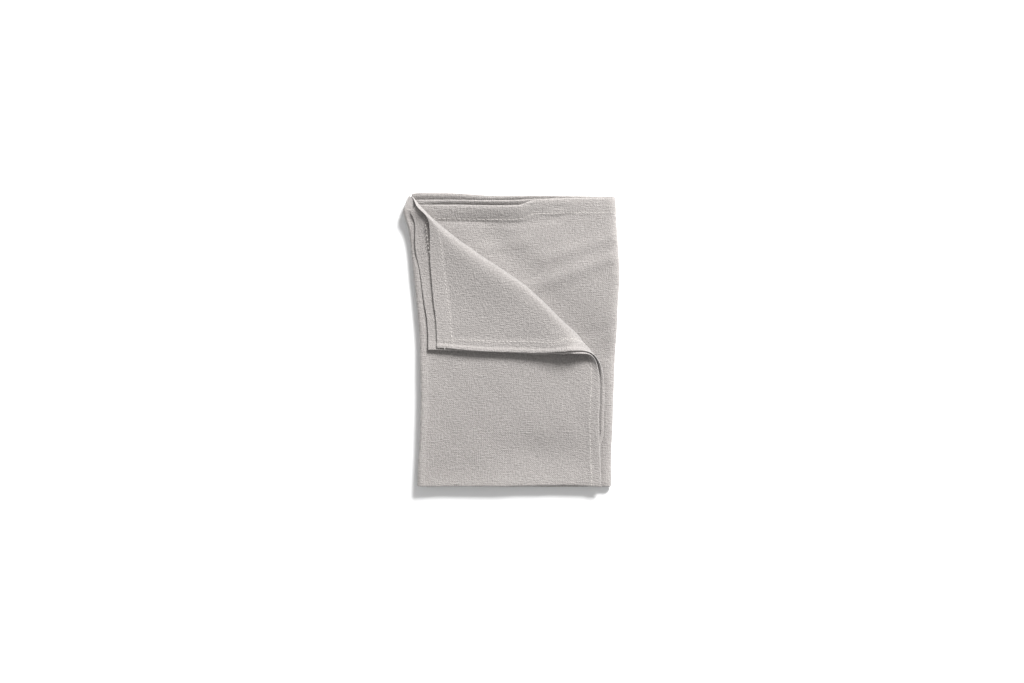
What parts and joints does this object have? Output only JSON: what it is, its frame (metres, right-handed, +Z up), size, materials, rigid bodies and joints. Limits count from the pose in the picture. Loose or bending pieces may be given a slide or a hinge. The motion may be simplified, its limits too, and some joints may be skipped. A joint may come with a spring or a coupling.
{
  "type": "folded cloth napkin",
  "caption": "Hemmed plain-woven linen napkin in warm light grey, folded in half and then in three, with one top corner turned over.",
  "frame": {"origin": "centre of the folded napkin's box, on the surface that it lies on", "axes": "+X across the three sections towards the open fold on the right, +Y from the half fold to the open hems, +Z up from the surface"},
  "size_m": [0.1628, 0.2196, 0.0158],
  "materials": {
    "cloth": "matte"
  },
  "bodies": {
    "root": {"napkin": "cloth"}
  },
  "joints": []
}
